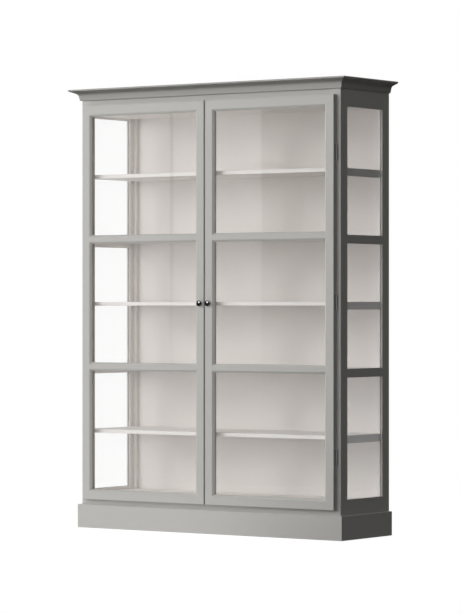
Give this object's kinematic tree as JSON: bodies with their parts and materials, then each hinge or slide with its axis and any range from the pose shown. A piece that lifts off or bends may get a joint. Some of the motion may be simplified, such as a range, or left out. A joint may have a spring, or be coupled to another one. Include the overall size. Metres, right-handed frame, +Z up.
{
  "type": "glazed bookcase",
  "caption": "Tall free-standing bookcase with hinged glazed doors, glazed side frames, moulded cornice, plinth and fixed-pitch inner shelves.",
  "frame": {"origin": "on the floor, under the middle of the whole bookcase, cornice included", "axes": "+X to the right seen from the front, +Y from the doors towards the back, +Z up"},
  "size_m": [1.58, 0.461, 2.1],
  "materials": {
    "outside_paint": "satin stone-grey paint on wood",
    "inside_paint": "satin warm-white paint on wood",
    "plain_board": "bare wood, out of sight",
    "clear_glass": "clear float glass",
    "black_gloss": "glossy black",
    "hinge_paint": "satin grey paint on steel",
    "bright_steel": "zinc-plated",
    "buffer_rubber": "pale soft rubber"
  },
  "bodies": {
    "carcass": {"back_battens": "inside_paint", "back_panel": "inside_paint", "catch_magnets": "bright_steel", "ceiling_panel": "inside_paint", "cornice_front": "outside_paint", "cornice_left": "outside_paint", "cornice_right": "outside_paint", "door_buffers": "buffer_rubber", "face_bottom_rail": "outside_paint", "face_top_rail": "outside_paint", "floor_panel": "inside_paint", "glue_blocks": "plain_board", "hinge_frame_leaves": "hinge_paint", "hinge_pins": "hinge_paint", "left_face_stile": "outside_paint", "left_side_back_stile": "outside_paint", "left_side_beads": "outside_paint", "left_side_front_stile": "outside_paint", "left_side_panes": "clear_glass", "left_side_rails": "outside_paint", "plinth_front": "outside_paint", "plinth_left": "outside_paint", "plinth_right": "outside_paint", "rear_rail": "plain_board", "right_face_stile": "outside_paint", "right_side_back_stile": "outside_paint", "right_side_beads": "outside_paint", "right_side_front_stile": "outside_paint", "right_side_panes": "clear_glass", "right_side_rails": "outside_paint", "roof_board": "outside_paint", "shelf_1": "inside_paint", "shelf_2": "inside_paint", "shelf_3": "inside_paint", "shelf_4": "inside_paint", "shelf_5": "inside_paint", "shelf_bearers": "inside_paint", "shelf_brackets": "bright_steel"},
    "left_door": {"left_door_beads": "outside_paint", "left_door_bottom_rail": "outside_paint", "left_door_hinge_leaves": "hinge_paint", "left_door_hinge_stile": "outside_paint", "left_door_knob": "black_gloss", "left_door_meeting_stile": "outside_paint", "left_door_middle_rails": "outside_paint", "left_door_panes": "clear_glass", "left_door_strike_plate": "bright_steel", "left_door_top_rail": "outside_paint"},
    "right_door": {"right_door_beads": "outside_paint", "right_door_bottom_rail": "outside_paint", "right_door_hinge_leaves": "hinge_paint", "right_door_hinge_stile": "outside_paint", "right_door_knob": "black_gloss", "right_door_meeting_stile": "outside_paint", "right_door_middle_rails": "outside_paint", "right_door_panes": "clear_glass", "right_door_strike_plate": "bright_steel", "right_door_top_rail": "outside_paint"}
  },
  "joints": [
    {"name": "left_door_hinge", "type": "hinge", "parent": "carcass", "child": "left_door", "pos_m": [-0.724, -0.1885, 1.079], "axis": [0, 0, -1], "range_deg": [0, 110]},
    {"name": "right_door_hinge", "type": "hinge", "parent": "carcass", "child": "right_door", "pos_m": [0.724, -0.1885, 1.079], "axis": [0, 0, 1], "range_deg": [0, 110]}
  ]
}
